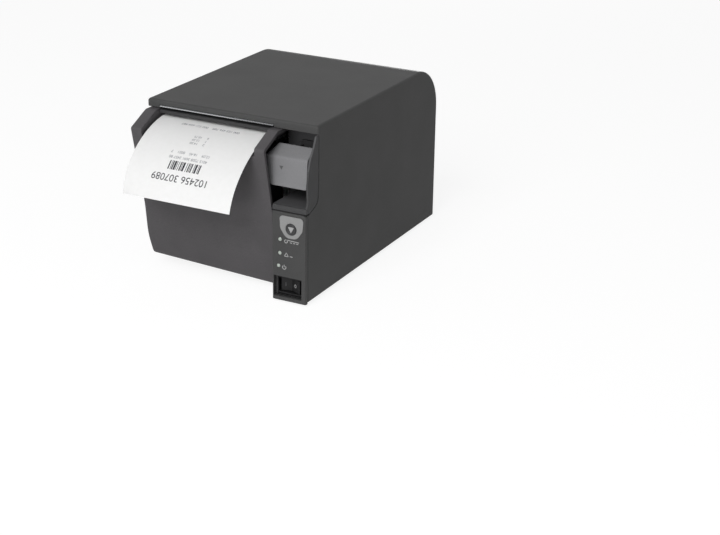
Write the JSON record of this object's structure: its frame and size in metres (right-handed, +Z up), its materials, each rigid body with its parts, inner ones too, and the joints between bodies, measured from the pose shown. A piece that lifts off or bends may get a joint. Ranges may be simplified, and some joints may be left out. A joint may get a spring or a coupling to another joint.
{
  "type": "receipt printer",
  "caption": "Compact front-loading thermal receipt printer with a drop-down front cover, roll bay, cutter, opening lever, feed button and a receipt hanging from its mouth.",
  "frame": {"origin": "centre of the whole outline's footprint, receipt included, on the table plane under the feet; the case itself is centred 14 mm behind it", "axes": "+X to the right seen from the front, +Y to the rear, +Z up"},
  "size_m": [0.125, 0.2221, 0.114],
  "materials": {
    "case_plastic": "fine spark-eroded texture, dark grey",
    "cover_plastic": "fine spark-eroded texture, dark grey",
    "black_plastic": "satin black",
    "grey_plastic": "satin light grey",
    "light_grey_label": "printed light grey field",
    "lens": "diffusing light guide",
    "steel": "plated sheet steel",
    "bright_steel": "ground steel edge",
    "alu": "plain",
    "ceramic": "glazed head strip",
    "platen_rubber": "ground rubber",
    "foot_rubber": "moulded",
    "gear_plastic": "natural acetal",
    "board": "green solder mask",
    "paper": "smooth thermal paper",
    "card": "wound tube",
    "motor_metal": "zinc and black"
  },
  "bodies": {
    "chassis": {"top_case": "case_plastic", "base_tray": "black_plastic", "control_panel": "cover_plastic", "button_surround": "light_grey_label", "led_lenses": "lens", "panel_board": "board", "switch_frame": "black_plastic", "left_frame": "steel", "right_frame": "steel", "idler_stud": "bright_steel", "feed_motor": "motor_metal", "head_bracket": "steel", "head_springs": "bright_steel", "cutter_frame": "steel", "cutter_motor": "motor_metal", "roll_cradle": "black_plastic", "tear_bar": "bright_steel", "exit_guide": "cover_plastic", "lever_bracket": "black_plastic", "lever_well": "black_plastic", "main_board": "board", "board_parts": "black_plastic", "rear_panel": "steel", "interface_plate": "steel", "card_screws": "bright_steel", "dc_inlet": "black_plastic", "drawer_jack": "black_plastic", "usb_socket": "steel", "lan_jack": "steel", "feet": "foot_rubber", "base_screws": "bright_steel", "board_carrier": "black_plastic", "near_end_sensor": "black_plastic", "paper_sensor": "black_plastic", "cover_switch": "black_plastic", "paper_web": "paper"},
    "front_cover": {"front_cover": "cover_plastic", "cover_frame": "black_plastic", "hinge_rod": "bright_steel", "fixed_blade": "bright_steel", "platen_bushes": "gear_plastic"},
    "platen": {"platen_shaft": "bright_steel", "platen_rubber": "platen_rubber", "platen_gear": "gear_plastic"},
    "idler": {"idler_gear": "gear_plastic"},
    "feed_rotor": {"motor_pinion": "gear_plastic"},
    "roll": {"paper_roll": "paper", "roll_core": "card"},
    "receipt": {"receipt": "paper"},
    "head": {"thermal_head": "ceramic", "head_heatsink": "alu"},
    "cutter_blade": {"moving_blade": "bright_steel"},
    "cutter_gear": {"cutter_gear": "gear_plastic"},
    "cutter_rotor": {"cutter_pinion": "gear_plastic"},
    "lever": {"open_lever": "grey_plastic", "lever_pin": "bright_steel", "latch_plate": "steel", "lever_spring": "bright_steel"},
    "feed_button": {"feed_button": "grey_plastic"},
    "power_rocker": {"power_rocker": "black_plastic"}
  },
  "joints": [
    {"name": "cover_hinge", "type": "hinge", "parent": "chassis", "child": "front_cover", "pos_m": [-0.012, -0.052, 0.013], "axis": [1, 0, 0], "range_deg": [0, 70], "deforming": ["paper_web"]},
    {"name": "receipt_bend", "type": "hinge", "parent": "front_cover", "child": "receipt", "pos_m": [-0.012, -0.0383, 0.0995], "axis": [1, 0, 0], "range_deg": [-70, 0]},
    {"name": "lever_press", "type": "hinge", "parent": "chassis", "child": "lever", "pos_m": [0.0465, -0.056, 0.093], "axis": [1, 0, 0], "range_deg": [0, 16], "stiffness_Nm_per_rad": 0.05, "springref_deg": -20.05},
    {"name": "feed_press", "type": "slide", "parent": "chassis", "child": "feed_button", "axis": [0, 1, 0], "range_m": [0, 0.0012], "stiffness_N_per_m": 150, "springref_m": -0.004},
    {"name": "power_rock", "type": "hinge", "parent": "chassis", "child": "power_rocker", "pos_m": [0.0492, -0.068, 0.0106], "axis": [0, 0, 1], "range_deg": [0, 12]},
    {"name": "roll_spin", "type": "hinge", "parent": "chassis", "child": "roll", "pos_m": [-0.012, 0.028, 0.0443], "axis": [1, 0, 0], "continuous": true},
    {"name": "platen_spin", "type": "hinge", "parent": "front_cover", "child": "platen", "pos_m": [-0.012, -0.045, 0.086], "axis": [1, 0, 0], "continuous": true},
    {"name": "idler_spin", "type": "hinge", "parent": "chassis", "child": "idler", "pos_m": [-0.0569, -0.024, 0.08399], "axis": [1, 0, 0], "continuous": true},
    {"name": "feed_motor_spin", "type": "hinge", "parent": "chassis", "child": "feed_rotor", "pos_m": [-0.0569, -0.01229, 0.09699], "axis": [1, 0, 0], "continuous": true},
    {"name": "head_rock", "type": "hinge", "parent": "chassis", "child": "head", "pos_m": [-0.012, -0.0356, 0.0946], "axis": [1, 0, 0], "range_deg": [0, 3], "stiffness_Nm_per_rad": 0.4, "springref_deg": -5.73, "deforming": ["head_springs"]},
    {"name": "blade_slide", "type": "slide", "parent": "chassis", "child": "cutter_blade", "axis": [0, -1, 0], "range_m": [0, 0.007]},
    {"name": "cutter_gear_spin", "type": "hinge", "parent": "chassis", "child": "cutter_gear", "pos_m": [0.0186, -0.018, 0.1], "axis": [0, 0, 1], "range_deg": [-75, 0]},
    {"name": "cutter_motor_spin", "type": "hinge", "parent": "chassis", "child": "cutter_rotor", "pos_m": [0.0023, -0.018, 0.1], "axis": [0, 0, 1], "range_deg": [0, 150]}
  ],
  "couplings": [
    {"joint": "receipt_bend", "follows": "cover_hinge", "ratio": -1},
    {"joint": "platen_spin", "follows": "roll_spin", "ratio": 5.3125},
    {"joint": "idler_spin", "follows": "roll_spin", "ratio": -3.9844},
    {"joint": "feed_motor_spin", "follows": "roll_spin", "ratio": 8.8542},
    {"joint": "cutter_gear_spin", "follows": "blade_slide", "rad_per_m": -185.19},
    {"joint": "cutter_motor_spin", "follows": "blade_slide", "rad_per_m": 370.37}
  ]
}
